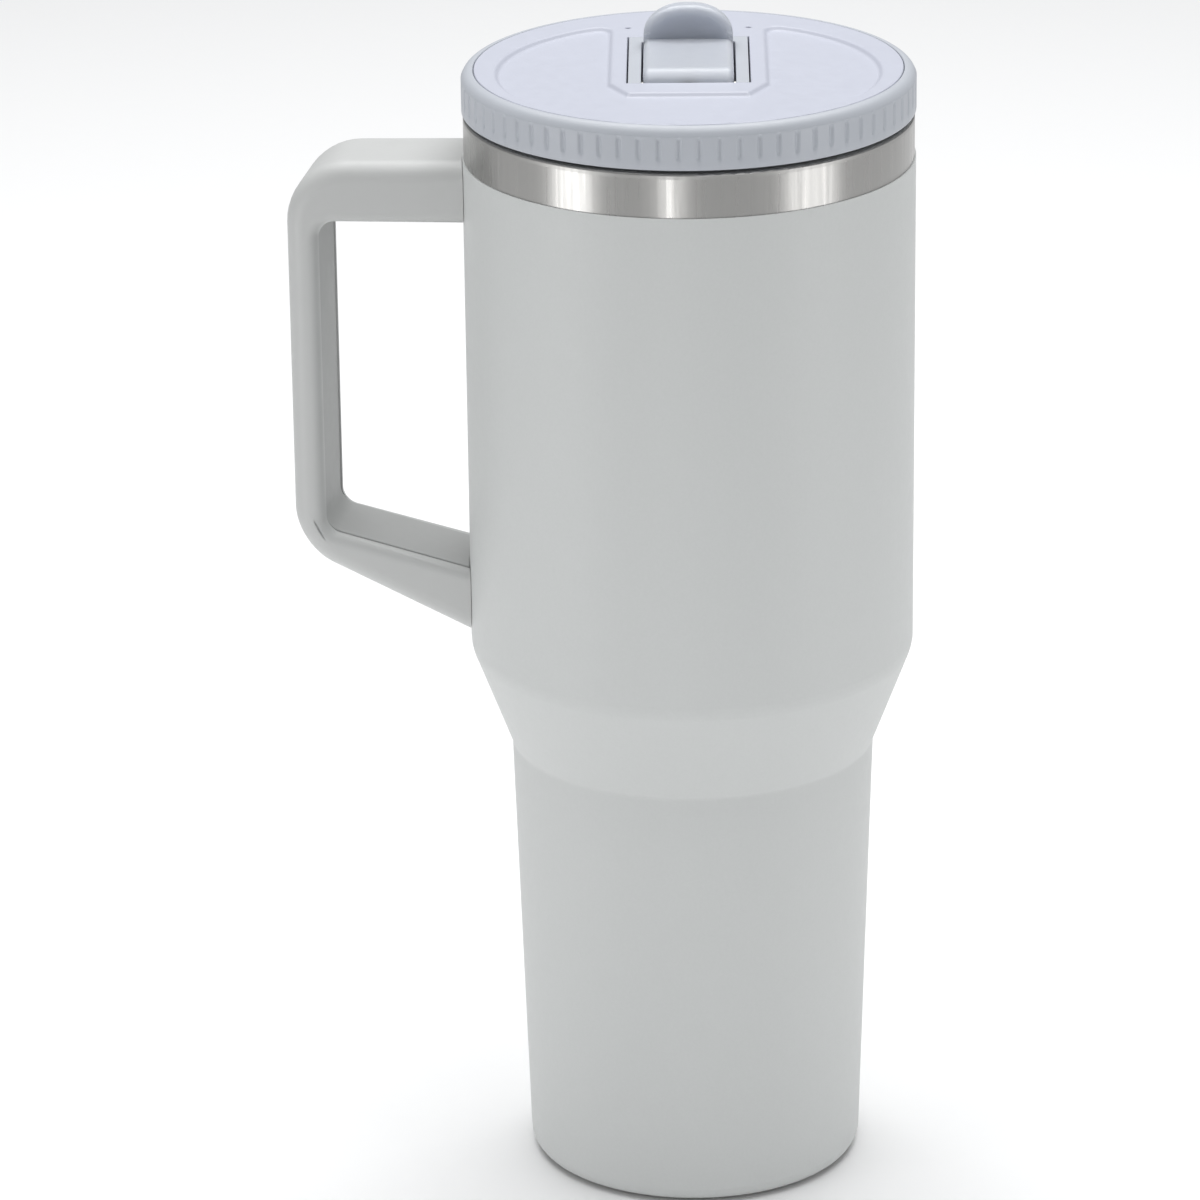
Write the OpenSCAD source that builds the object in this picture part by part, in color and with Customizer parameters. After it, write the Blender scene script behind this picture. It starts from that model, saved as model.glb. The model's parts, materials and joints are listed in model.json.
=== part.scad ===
// Double-walled tumbler with a side handle and a push-in lid with a flip spout.
// The origin is on the tumbler's axis, in the face it stands on, and +Z is up.
// The spout faces -Y. The handle points to -X, turned back from the spout by handle_turn.

/* [Body] */
// Outer diameter of the upper body, over its coating
body_d = 100; // [84:0.5:120]
// Height of the steel body to the top of its lip
body_h = 247.8; // [205:0.1:300]
// Outer diameter of the lower section where it meets the taper
lower_d = 82.2; // [68:0.1:98]
// Outer diameter of the foot
foot_d = 76; // [63:0.1:91]
// Height of the lower section
lower_h = 101; // [84:0.5:122]
// Height of the taper between the lower and the upper section
taper_h = 23.4; // [19:0.1:29]
// Radius of the edge where the upper body turns into the taper
taper_round = 9; // [4:0.5:12]
// Radius of the hollow where the taper meets the lower section
taper_hollow = 3; // [1:0.5:6]
// Radius of the foot's edge
foot_round = 4; // [3:0.1:5]
// Height of the bare steel band under the lip
band_h = 9.8; // [6:0.1:16]

/* [Vacuum wall] */
// Thickness of the coating
coat_t = 0.3; // [0.2:0.05:0.5]
// Height of the coating's lower edge above the foot
coat_start = 1.2; // [0.6:0.1:2]
// Thickness of the outer steel wall
wall_t = 0.5; // [0.4:0.05:0.8]
// Vacuum gap between the two walls
vacuum_gap = 3.7; // [3:0.1:5]
// Thickness of the inner steel wall
liner_t = 0.5; // [0.4:0.05:0.8]
// Height of the inner wall's floor above the foot, underneath
floor_z = 8.5; // [7:0.1:12]
// Radius of the inner wall's floor corner, outside
liner_round = 10; // [6:0.5:14]
// Height of the welded lip
lip_t = 1.2; // [0.9:0.1:1.8]
// Radius of the lip's two edges
lip_round = 0.5; // [0.2:0.1:0.7]
// Diameter of the opening in the outer wall's bottom
base_open_d = 60; // [50:1:64]
// Width of the closing disc's flange, half of it over the outer wall's bottom
base_flange = 5; // [4:0.1:6]
// Height of the closing disc's dish above its flange
base_dish = 1.8; // [1:0.1:2.4]
// Diameter of the evacuation port in the closing disc
port_d = 2.4; // [1.6:0.1:3.2]
// Diameter of the solder bead that seals the port
bead_d = 8; // [6:0.5:12]
// Height of the solder bead
bead_t = 0.5; // [0.3:0.1:0.7]
// Diameter of the getter tablet
getter_d = 10; // [6:0.5:12]
// Thickness of the getter tablet
getter_t = 2.4; // [1.5:0.1:3]
// Distance of the getter tablet from the axis
getter_off = 14; // [11:0.5:18]

/* [Handle] */
// Angle by which the handle is turned back from the -X axis
handle_turn = 8; // [0:1:20]
// How far the handle stands out from the upper body
handle_reach = 39; // [33:0.5:48]
// Width of the handle
handle_w = 25; // [21:0.5:30]
// Thickness of the grip
grip_t = 7.2; // [6:0.1:9]
// Drop from the paint line to the top of the handle's root
handle_drop = 0.6; // [0:0.1:8]
// Height of the upper arm
upper_arm_h = 13.6; // [12.5:0.1:17]
// Fall of the upper arm towards its outer end, in degrees
upper_fall = 2; // [0:0.5:4]
// Rise from the taper's top edge to the underside of the lower arm's root
handle_lift = 4; // [1:0.5:12]
// Height of the lower arm at its root
lower_arm_h = 14.5; // [13.5:0.1:18]
// Rise of the lower arm's underside towards its outer end, in degrees
under_rise = 25; // [20:0.5:28]
// Rise of the lower arm's upper face towards its outer end, in degrees
ledge_rise = 14; // [10:0.5:17]
// Radius of the handle's two outer corners
handle_round = 14.5; // [10:0.5:18]
// Radius of the finger opening's two outer corners
opening_round = 4; // [2:0.5:7]
// Wall of the handle's moulded channel
handle_wall = 3; // [2.4:0.1:3.6]
// Thickness of the strip that closes the channel
strip_t = 2; // [1.5:0.1:2.4]
// Depth of the strip below the channel's edges
strip_step = 0.3; // [0:0.1:0.6]
// Clearance between the strip and the channel, each side
strip_fit = 0.1; // [0.05:0.05:0.3]
// Gap between the arm ends and the coated wall
root_gap = 0.1; // [0:0.05:0.4]

/* [Handle fixing] */
// Width of the two brackets' weld pads
bracket_w = 14; // [10:0.5:16]
// How far a weld pad stands out at each side of its tongue
pad_side = 1; // [0.5:0.1:1.5]
// Thickness of a bracket's tongue
tongue_t = 2.5; // [2:0.1:3]
// Length of a bracket's tongue
tongue_l = 15; // [13:0.5:16]
// Height of the tongue above the arm's underside
tongue_up = 4.6; // [4.3:0.1:4.8]
// Height of a bracket's weld pad
pad_h = 5.6; // [4.8:0.1:5.8]
// Thickness of a bracket's weld pad
pad_t = 1.4; // [1:0.1:2]
// Distance of the screw from the handle's root
screw_at = 9.5; // [8.5:0.1:11]
// Thread diameter of the screw
screw_d = 3; // [2.5:0.1:3.5]
// Diameter of the screw's head
screw_head_d = 5.5; // [4.5:0.1:6]
// Height of the screw's head
screw_head_t = 1.7; // [1.2:0.1:1.9]
// Length of the screw under its head
screw_l = 5.2; // [4.5:0.1:5.8]
// Diameter of the cap over the screw
cap_d = 6.2; // [5.6:0.1:7]
// Thickness of the cap
cap_t = 0.8; // [0.6:0.1:0.9]

/* [Lid] */
// Gap between the lip and the lid's grip ring, filled by the gasket's flange
lid_gap = 0.8; // [0.6:0.1:1.4]
// Height of the grip ring
ring_h = 9.4; // [8.6:0.1:11.4]
// Width of the grip ring
ring_w = 2.7; // [2.4:0.1:3.2]
// Radius of the grip ring's shoulder
shoulder_r = 2.6; // [1.5:0.1:2.6]
// Number of flutes around the grip ring
flutes = 72; // [36:1:90]
// Radius of a flute's groove
flute_r = 0.4; // [0.3:0.05:0.8]
// Depth of a flute's groove
flute_depth = 0.4; // [0.2:0.05:0.6]
// Plain margin below the flutes
flute_low = 2; // [1:0.1:2.5]
// Plain margin above the flutes, to the top of the lid
flute_high = 2; // [1.6:0.1:3]
// Thickness of the lid's deck
deck_t = 2; // [1.6:0.1:2.4]
// Height of the ledge inside the grip ring that carries the deck
ledge_t = 1.2; // [0.8:0.1:1.5]
// Width of that ledge
ledge_w = 1.3; // [0.8:0.1:1.8]
// Clearance between the grip ring and what it holds
ring_fit = 0.12; // [0.05:0.01:0.25]
// Depth of the plug's skirt below the deck
skirt_h = 16; // [14:0.5:20]
// Wall of the plug's skirt
skirt_t = 2.2; // [1.8:0.1:2.6]
// Wall of the curb around the spout's pocket
curb_t = 1.5; // [1.2:0.1:1.8]
// Thickness of the top plate
plate_t = 3; // [2.6:0.1:3.2]
// Depth of the recess in the top plate
recess_d = 0.9; // [0.6:0.1:1.6]
// Width of the top plate's rim outside the recess, at the side
recess_rim = 4.7; // [4.6:0.1:9]
// Shift of the recess towards the front
recess_shift = 3.8; // [0:0.1:4]
// Radius of the recess's rear corners
recess_round = 5; // [3:0.5:7]
// Half width of the island between the recesses
island_w = 16.8; // [16:0.1:20]
// Distance from the hinge axis to the island's front edge
island_front = 12.8; // [8:0.1:16]
// Slant of the island's front corners, across
slant_across = 4; // [1:0.5:6]
// Slant of the island's front corners, along
slant_along = 8; // [1:0.5:10]

/* [Gasket] */
// Gap between the plug and the inner wall of the cup
plug_gap = 2.4; // [2:0.1:3]
// Thickness of the gasket's sleeve
sleeve_t = 1; // [0.7:0.05:1.3]
// Clearance between the gasket and the plug
sleeve_fit = 0.1; // [0.05:0.01:0.2]
// Clearance between the gasket's lips and the cup
lip_fit = 0.25; // [0.15:0.05:0.4]
// Thickness of a gasket lip
lip_thick = 1.1; // [0.8:0.1:1.5]
// Width of the gasket's flange beyond the mouth
flange_w = 3; // [2:0.1:3.8]
// Height of the plug's foot that keeps the gasket on
foot_t = 2.4; // [2:0.1:3]
// Width of the plug's foot beyond the skirt
foot_w = 1.2; // [1:0.1:1.6]

/* [Spout] */
// Half width of the spout
spout_w = 9.9; // [8.2:0.1:12]
// Gap between the spout and its slot, at each side
spout_side_gap = 0.45; // [0.3:0.05:0.8]
// Distance from the lid's axis forward to the hinge axis
hinge_front = 8.7; // [7.5:0.1:10]
// Depth of the hinge axis below the top of the lid
hinge_depth = 2.4; // [2.2:0.1:2.8]
// Radius of the hinge barrel
barrel_r = 4.6; // [4.2:0.1:4.8]
// Depth of the spout's underside below the hinge axis
arm_under = 3.4; // [3.2:0.1:3.6]
// Distance from the hinge axis to the back of the spout's tab
spout_l = 28.3; // [24:0.1:32]
// Thickness of the tab that stands up at the back
tab_t = 5.4; // [4.6:0.1:6.4]
// Height of the tab above the lid
tab_h = 9.6; // [8:0.1:11.5]
// Radius of the tab's two upper corners
tab_round = 9; // [4:0.1:10]
// Radius of the hollow between the tab and the block
tab_hollow = 1; // [0.6:0.1:3.5]
// Radius of the drinking channel
channel_r = 2.4; // [2:0.1:2.4]
// Half length of the mouth in the spout's rear end, between its round ends
mouth_half = 2.6; // [1.5:0.1:3]
// Depth of the mouth
mouth_depth = 6; // [3:0.5:10]
// Gap between the open spout and the slot's front edge
slot_front_gap = 0.4; // [0.3:0.05:0.8]
// Gap between the tab and the slot's rear edge
slot_rear_gap = 0.8; // [0.6:0.05:1.5]

/* [Hinge] */
// Width of a side of the hinge frame
frame_side = 2.85; // [2.5:0.05:3.4]
// Width of the hinge frame's rear bridge
frame_bridge = 4; // [3:0.1:6]
// Seam between the hinge frame and the top plate
frame_seam = 0.3; // [0.15:0.05:0.5]
// Radius of a hinge pin
pin_r = 1.2; // [1:0.05:1.3]
// Running clearance between a hinge pin and the barrel
pin_fit = 0.05; // [0.02:0.01:0.1]
// How far a hinge pin reaches into the barrel
pin_reach = 3.5; // [2.5:0.1:4.5]

/* [Seal, vents and straw] */
// Radius of the spout seal
seal_r = 6; // [5:0.1:7]
// Depth of the seal's seat in the deck
seal_seat = 0.7; // [0.4:0.1:1.2]
// Clearance between the seal's saddle and the barrel
seal_fit = 0.15; // [0.1:0.01:0.3]
// Gap between the seal's top and the spout's underside
seal_under = 0.3; // [0.2:0.05:0.6]
// Radius of the boss under the deck
boss_r = 8; // [7.4:0.1:9]
// Height of the boss under the deck
boss_h = 4.6; // [3:0.1:6]
// Radius of the spigot that carries the straw
spigot_r = 3.9; // [3.4:0.1:4.5]
// Length of the spigot
spigot_h = 8; // [6:0.5:12]
// Wall of the straw
straw_t = 1; // [0.7:0.1:1.3]
// Gap between the straw's lower end and the cup's floor
straw_end_gap = 5; // [3:0.5:12]
// Slant of the straw's lower end, in degrees
straw_slant = 20; // [0:5:30]
// Distance of the two vents behind the spout's pocket
vent_back = 7.6; // [4:0.1:9]
// Radius of a vent hole in the top plate
vent_r = 0.6; // [0.4:0.05:0.9]
// Radius of a vent valve's stem
valve_r = 1.5; // [1.2:0.1:1.8]
// Width of a vent valve's head and bulb beyond its stem
valve_rim = 0.9; // [0.5:0.1:1.1]
// Thickness of a vent valve's head and bulb
valve_t = 0.8; // [0.5:0.1:1.2]

/* [Hidden] */

$fn = 120;
small_fn = 32;   // sides of small round shapes
over = 1;        // how far a cutting shape runs past what it cuts
bite = 0.002;    // how far a round cut crosses the straight it runs into

coat_color = "#c6c8c6";
steel_color = "#b9bbbd";
lid_color = "#d6d8e4";
frame_color = "#cdd0d8";
silicone_color = "#8f9296";
straw_color = "#e4e6ea";

body_r = body_d / 2;
taper_top = lower_h + taper_h;
paint_z = body_h - band_h;
shell_r = body_r - coat_t;
liner_off = coat_t + wall_t + vacuum_gap;
cup_r = body_r - liner_off - liner_t;
dish_z = wall_t + base_dish;

// Corners of the outer wall from the foot to the lip, as radius and height
wall_path = [[foot_d / 2, 0], [lower_d / 2, lower_h], [body_r, taper_top], [body_r, body_h]];
lower_lean = atan((lower_d - foot_d) / 2 / lower_h);

handle_x = body_r + handle_reach;
grip_x = handle_x - grip_t;
handle_top = paint_z - handle_drop;
handle_low = taper_top + handle_lift;
channel_w = handle_w - 2 * handle_wall;
cap_fit = 0.05;                         // clearance around a screw cap
screw_fit = 0.2;                        // clearance around a screw's shank

lid_z = body_h + lid_gap;
lid_top = lid_z + ring_h;
deck_z = lid_z + deck_t;
plate_z = lid_top - plate_t;
ring_in = body_r - ring_w;
held_r = ring_in - ring_fit;
recess_r = held_r - recess_rim;
plug_r = cup_r - plug_gap;
skirt_z = lid_z - skirt_h;

hinge_y = -hinge_front;
hinge_z = lid_top - hinge_depth;
spout_top = hinge_z + barrel_r;
spout_low = hinge_z - arm_under;
tab_y = hinge_y + spout_l;
tab_z = lid_top + tab_h;
tab_corner = min(tab_round, spout_w - 0.4);
slot_w = spout_w + spout_side_gap;
slot_front = hinge_y - barrel_r - slot_front_gap;
slot_rear = tab_y + slot_rear_gap;
frame_w = slot_w + frame_side;
frame_rear = slot_rear + frame_bridge;
pocket_w = frame_w + frame_seam;
pocket_rear = frame_rear + frame_seam;
island_y = hinge_y - island_front;
straw_top = lid_z - boss_h;
straw_low = floor_z + liner_t + straw_end_gap;

function unit(v) = v / norm(v);
function left_of(v) = [-v[1], v[0]];

// The corner p of a path a-p-b after the path has moved d to its left
function moved(a, p, b, d) =
    let (m = left_of(unit(p - a)), n = left_of(unit(b - p))) p + d * (m + n) / (1 + m * n);

// Radius, at height z, of the lower section moved inwards by d
function lower_x(z, d) = foot_d / 2 + z * tan(lower_lean) - d / cos(lower_lean);

// Heights of the handle's four long faces at distance x from the axis
function arm_top(x) = handle_top - (x - body_r) * tan(upper_fall);
function arm_under_z(x) = arm_top(x) - upper_arm_h;
function arm_ledge(x) = handle_low + lower_arm_h + (x - body_r) * tan(ledge_rise);
function arm_bottom(x) = handle_low + (x - body_r) * tan(under_rise);

// Centre of the arc of radius r that rounds the corner p of a-p-b
function arc_centre(a, p, b, r) =
    let (u = unit(a - p), v = unit(b - p)) p + unit(u + v) * r / sin(acos(u * v) / 2);

// Where that arc meets the side from p to a
function arc_start(a, p, b, r) =
    let (u = unit(a - p), v = unit(b - p)) p + u * r / tan(acos(u * v) / 2);

// The piece between a corner p of a-p-b and the arc of radius r that rounds it,
// carried past the corner so that it cuts or joins cleanly
module corner_piece(a, p, b, r) {
    c = arc_centre(a, p, b, r);
    difference() {
        polygon([arc_start(a, p, b, r), p + (p - c) / 8, arc_start(b, p, a, r), c]);
        translate(c) circle(r + bite);
    }
}

// Half section of everything inside the wall moved inwards by d
module wall_section(d, bottom, top, round_r) {
    foot = [lower_x(bottom, d), bottom];
    waist = moved(wall_path[0], wall_path[1], wall_path[2], d);
    shoulder = moved(wall_path[1], wall_path[2], wall_path[3], d);
    rim = [body_r - d, top];
    hollow = taper_hollow + d;
    c = arc_centre(foot, waist, shoulder, hollow);
    difference() {
        polygon([[0, bottom], foot, arc_start(foot, waist, shoulder, hollow), c,
                 arc_start(shoulder, waist, foot, hollow), shoulder, rim, [0, top]]);
        translate(c) circle(hollow + bite);
        corner_piece([0, bottom], foot, waist, round_r);
        corner_piece(waist, shoulder, rim, max(taper_round - d, over));
    }
}

module ring_section(inner, outer, low, high) {
    translate([inner, low]) square([outer - inner, high - low]);
}

module outer_shell() {
    color(steel_color) rotate_extrude() difference() {
        wall_section(coat_t, 0, body_h - lip_t, foot_round - coat_t);
        wall_section(coat_t + wall_t, wall_t, body_h, foot_round - coat_t - wall_t);
        ring_section(0, base_open_d / 2, -over, wall_t + over);
    }
}

module powder_coat() {
    color(coat_color) difference() {
        rotate_extrude() difference() {
            wall_section(0, 0, paint_z, foot_round);
            wall_section(coat_t, 0, body_h, foot_round - coat_t);
            ring_section(0, body_d, -over, coat_start);
        }
        bracket_pads();
    }
}

module inner_liner() {
    lip_low = body_h - lip_t;
    color(steel_color) rotate_extrude() {
        difference() {
            wall_section(liner_off, floor_z, body_h - lip_t, liner_round);
            wall_section(liner_off + liner_t, floor_z + liner_t, body_h, liner_round - liner_t);
        }
        difference() {
            ring_section(cup_r, shell_r, lip_low, body_h);
            corner_piece([shell_r, lip_low], [shell_r, body_h], [cup_r, body_h], lip_round);
            corner_piece([cup_r, lip_low], [cup_r, body_h], [shell_r, body_h], lip_round);
        }
    }
}

module base_cap() {
    color(steel_color) cylinder(h = wall_t, d = base_open_d);
}

module base_disc() {
    rim = base_open_d / 2 + base_flange / 2;
    dish = rim - base_flange;
    color(steel_color) rotate_extrude() {
        ring_section(port_d / 2, dish, dish_z, dish_z + wall_t);
        ring_section(dish - wall_t, dish, wall_t, dish_z + wall_t);
        ring_section(dish - wall_t, rim, wall_t, 2 * wall_t);
    }
}

module vacuum_seal() {
    color(silicone_color) {
        translate([0, 0, dish_z - bead_t]) cylinder(h = bead_t, d1 = bead_d * 0.8, d2 = bead_d);
        translate([0, 0, dish_z]) cylinder(h = wall_t, d = port_d, $fn = small_fn);
    }
}

module getter() {
    color("dimgray") translate([getter_off, 0, dish_z + wall_t])
        cylinder(h = getter_t, d = getter_d);
}

// Turns a shape built along +X to where the handle stands
module at_handle() {
    rotate([0, 0, 180 - handle_turn]) children();
}

// A side view, distance from the axis and height, spread to a width
module from_side(w) {
    translate([0, w / 2, 0]) rotate([90, 0, 0]) linear_extrude(w) children();
}

// The handle's outline with its opening filled, moved inwards by d
module handle_outline(d) {
    start = body_r / 2;
    end = handle_x - d;
    top = d / cos(upper_fall);
    low = d / cos(under_rise);
    a = [start, arm_top(start) - top];
    b = [end, arm_top(end) - top];
    c = [end, arm_bottom(end) + low];
    e = [start, arm_bottom(start) + low];
    difference() {
        polygon([a, b, c, e]);
        corner_piece(a, b, c, handle_round - d);
        corner_piece(b, c, e, handle_round - d);
    }
}

// The finger opening seen from the side, grown by d
module finger_opening(d) {
    start = body_r / 2;
    end = grip_x + d;
    top = d / cos(upper_fall);
    low = d / cos(ledge_rise);
    a = [start, arm_under_z(start) + top];
    b = [end, arm_under_z(end) + top];
    c = [end, arm_ledge(end) - low];
    e = [start, arm_ledge(start) - low];
    difference() {
        polygon([a, b, c, e]);
        corner_piece(a, b, c, opening_round + d);
        corner_piece(b, c, e, opening_round + d);
    }
}

// The space inside the coated wall with the gap at the handle's root
module wall_space(r) {
    cylinder(h = body_h + over, r = r);
}

// Places a screw fixing on an arm's underside: x runs outwards, z into the arm
module at_upper_fixing() {
    translate([body_r, 0, arm_under_z(body_r)]) rotate([0, upper_fall, 0]) children();
}

module at_lower_fixing() {
    translate([body_r, 0, arm_bottom(body_r)]) rotate([0, -under_rise, 0]) children();
}

// A boss from the inside of a wall to the bracket's tongue
module screw_boss(from) {
    translate([screw_at, 0, from]) cylinder(h = tongue_up - from, d = cap_d + strip_t);
}

// The stepped hole for cap, head and shank, from face z0
module screw_hole(z0) {
    translate([screw_at, 0, z0]) {
        translate([0, 0, -over]) cylinder(h = cap_t + screw_head_t + over, r = cap_d / 2 + cap_fit);
        cylinder(h = 2 * tongue_up, r = screw_d / 2 + screw_fit, $fn = small_fn);
    }
}

module handle_frame() {
    color(coat_color) at_handle() difference() {
        union() {
            difference() {
                from_side(handle_w) difference() {
                    handle_outline(0);
                    finger_opening(0);
                }
                from_side(channel_w) handle_outline(handle_wall);
            }
            at_lower_fixing() screw_boss(handle_wall / 2);
        }
        wall_space(body_r + root_gap);
        at_lower_fixing() screw_hole(0);
    }
}

module handle_strip() {
    color(coat_color) at_handle() difference() {
        union() {
            from_side(channel_w - 2 * strip_fit) difference() {
                finger_opening(strip_step + strip_t);
                finger_opening(strip_step);
            }
            at_upper_fixing() screw_boss(strip_step + strip_t / 2);
        }
        wall_space(body_r + root_gap);
        at_upper_fixing() screw_hole(strip_step);
    }
}

module bracket_tongue() {
    difference() {
        translate([-body_r / 4, pad_side - bracket_w / 2, tongue_up])
            cube([body_r / 4 + tongue_l, bracket_w - 2 * pad_side, tongue_t]);
        translate([screw_at, 0, 0])
            cylinder(h = 3 * tongue_up, d = screw_d, $fn = small_fn);
    }
}

module bracket_pad(z) {
    intersection() {
        difference() {
            wall_space(shell_r + pad_t);
            translate([0, 0, -over]) wall_space(shell_r);
        }
        translate([0, -bracket_w / 2, z - pad_h / 2]) cube([2 * body_r, bracket_w, pad_h]);
    }
}

module upper_pad() {
    bracket_pad(arm_under_z(body_r) + tongue_up + tongue_t / 2);
}

module lower_pad() {
    bracket_pad(arm_bottom(shell_r + pad_t) + (tongue_up + tongue_t / 2) / cos(under_rise));
}

module bracket_pads() {
    at_handle() {
        upper_pad();
        lower_pad();
    }
}

module upper_bracket() {
    color(steel_color) at_handle() difference() {
        union() {
            upper_pad();
            at_upper_fixing() bracket_tongue();
        }
        translate([0, 0, -over]) wall_space(shell_r);
    }
}

module lower_bracket() {
    color(steel_color) at_handle() difference() {
        union() {
            lower_pad();
            at_lower_fixing() bracket_tongue();
        }
        translate([0, 0, -over]) wall_space(shell_r);
    }
}

module screw(z0) {
    head_z = z0 + cap_t;
    translate([screw_at, 0, head_z]) difference() {
        union() {
            cylinder(h = screw_head_t, d = screw_head_d);
            cylinder(h = screw_head_t + screw_l, d = screw_d, $fn = small_fn);
        }
        translate([0, 0, -over])
            cylinder(h = over + screw_head_t / 2, d = screw_d * 0.8, $fn = 6);
    }
}

module handle_screws() {
    color(steel_color) at_handle() {
        at_upper_fixing() screw(strip_step);
        at_lower_fixing() screw(0);
    }
}

module cap(z0) {
    translate([screw_at, 0, z0]) cylinder(h = cap_t, d = cap_d);
}

module screw_caps() {
    color(coat_color) at_handle() {
        at_upper_fixing() cap(strip_step);
        at_lower_fixing() cap(0);
    }
}

module lid_gasket() {
    sleeve_in = plug_r + sleeve_fit;
    sleeve_low = skirt_z + foot_t;
    lip_r = cup_r - lip_fit;
    lip_gap = (lid_z - lid_gap - sleeve_low) / 3;
    color(silicone_color) rotate_extrude() {
        ring_section(sleeve_in, sleeve_in + sleeve_t, sleeve_low, lid_z);
        ring_section(sleeve_in, cup_r + flange_w, body_h, lid_z);
        for (i = [1, 2])
            ring_section(sleeve_in, lip_r, sleeve_low + i * lip_gap - lip_thick,
                         sleeve_low + i * lip_gap);
    }
}

module lid_plug() {
    color(lid_color) difference() {
        union() {
            rotate_extrude() {
                ring_section(0, held_r - ledge_w, lid_z, deck_z);
                ring_section(0, held_r, lid_z + ledge_t, deck_z);
                ring_section(held_r - skirt_t, held_r, deck_z, plate_z);
                ring_section(plug_r - skirt_t, plug_r, skirt_z, lid_z);
                ring_section(plug_r - skirt_t, plug_r + foot_w, skirt_z, skirt_z + foot_t);
            }
            pocket_curb();
            translate([0, hinge_y, lid_z - boss_h]) cylinder(h = boss_h, r = boss_r);
            translate([0, hinge_y, lid_z - boss_h - spigot_h]) cylinder(h = spigot_h, r = spigot_r);
        }
        translate([0, hinge_y, deck_z - seal_seat - deck_t]) cylinder(h = 2 * deck_t, r = seal_r);
        translate([0, hinge_y, lid_z - boss_h - spigot_h - over])
            cylinder(h = boss_h + spigot_h + deck_t, r = channel_r, $fn = small_fn);
        at_vents() translate([0, 0, lid_z - over])
            cylinder(h = deck_t + 2 * over, r = valve_r, $fn = small_fn);
    }
}

// Plan of the spout's pocket, grown by d
module pocket_plan(d) {
    translate([-pocket_w - d, slot_front - d])
        square([2 * (pocket_w + d), pocket_rear - slot_front + 2 * d]);
}

module pocket_curb() {
    translate([0, 0, deck_z]) linear_extrude(plate_z - deck_z) difference() {
        pocket_plan(curb_t);
        pocket_plan(0);
    }
}

module at_vents() {
    for (side = [-1, 1]) translate([side * pocket_w, pocket_rear + vent_back, 0]) children();
}

module grip_ring() {
    color(lid_color) difference() {
        rotate_extrude() {
            difference() {
                ring_section(ring_in, body_r, lid_z, lid_top);
                corner_piece([body_r, lid_z], [body_r, lid_top], [ring_in, lid_top], shoulder_r);
            }
            ring_section(ring_in - ledge_w, ring_in, lid_z, lid_z + ledge_t);
        }
        for (i = [0 : flutes - 1]) rotate([0, 0, (i + 0.5) * 360 / flutes]) flute();
    }
}

// One flute's cutter
module flute() {
    low = lid_z + flute_low;
    high = lid_top - flute_high;
    translate([body_r + flute_r - flute_depth, 0, low])
        cylinder(h = high - low, r = flute_r, $fn = small_fn);
}

// Plan of the raised island, open towards the back
module island_plan() {
    side = island_w;
    front = island_y;
    polygon([[-side, body_r], [-side, front + slant_along], [-side + slant_across, front],
             [side - slant_across, front], [side, front + slant_along], [side, body_r]]);
}

// Plan of the recess on both sides of the island and in front of it
module recess_plan() {
    centre = [0, -recess_shift];
    reach = recess_r - recess_round;
    across = island_w + recess_round;
    arc = [across, centre[1] + sqrt(reach * reach - across * across)];
    out = unit(arc - centre);
    difference() {
        translate(centre) circle(recess_r);
        island_plan();
        for (side = [0, 1]) mirror([side, 0]) difference() {
            polygon([arc, [island_w, arc[1]], [island_w, body_r], centre + out * body_r]);
            translate(arc) circle(recess_round + bite);
        }
    }
}

module top_plate() {
    color(lid_color) difference() {
        translate([0, 0, plate_z]) cylinder(h = plate_t, r = held_r);
        translate([0, 0, lid_top - recess_d]) linear_extrude(recess_d + over) recess_plan();
        translate([0, 0, plate_z - over]) linear_extrude(plate_t + 2 * over) pocket_plan(0);
        at_vents() translate([0, 0, plate_z - over])
            cylinder(h = plate_t + 2 * over, r = vent_r, $fn = small_fn);
    }
}

module hinge_frame() {
    color(frame_color) difference() {
        translate([0, 0, deck_z]) linear_extrude(lid_top - deck_z) difference() {
            translate([-frame_w, slot_front]) square([2 * frame_w, frame_rear - slot_front]);
            translate([-slot_w, slot_front - over]) square([2 * slot_w, slot_rear - slot_front + over]);
        }
        on_hinge() cylinder(h = 2 * body_r, r = pin_r, center = true, $fn = small_fn);
    }
}

// Puts a shape built along Z on the hinge axis
module on_hinge() {
    translate([0, hinge_y, hinge_z]) rotate([0, 90, 0]) children();
}

module hinge_pins() {
    length = frame_w - spout_w + pin_reach;
    color(steel_color) on_hinge() for (side = [-1, 1])
        translate([0, 0, side * (frame_w - length / 2)])
            cylinder(h = length, r = pin_r, center = true, $fn = small_fn);
}

module spout_seal() {
    low = deck_z - seal_seat - deck_t;
    high = spout_low - seal_under;
    color(silicone_color) difference() {
        translate([0, hinge_y, low]) cylinder(h = high - low, r = seal_r);
        on_hinge() cylinder(h = 4 * seal_r, r = barrel_r + seal_fit, center = true);
        translate([0, hinge_y, low - over])
            cylinder(h = high - low + 2 * over, r = channel_r, $fn = small_fn);
    }
}

module vent_valves() {
    color(silicone_color) at_vents() {
        translate([0, 0, lid_z]) cylinder(h = deck_t, r = valve_r, $fn = small_fn);
        for (z = [deck_z, lid_z - valve_t]) translate([0, 0, z])
            cylinder(h = valve_t, r = valve_r + valve_rim, $fn = small_fn);
    }
}

module straw() {
    outer = spigot_r + straw_t;
    color(straw_color) translate([0, hinge_y, 0]) difference() {
        translate([0, 0, straw_low]) cylinder(h = straw_top - straw_low, r = outer);
        translate([0, 0, straw_low - over]) cylinder(h = straw_top, r = spigot_r);
        translate([-outer, 0, straw_low]) rotate([0, -straw_slant, 0])
            translate([-outer, -2 * outer, -4 * outer]) cube([6 * outer, 4 * outer, 4 * outer]);
    }
}

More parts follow.
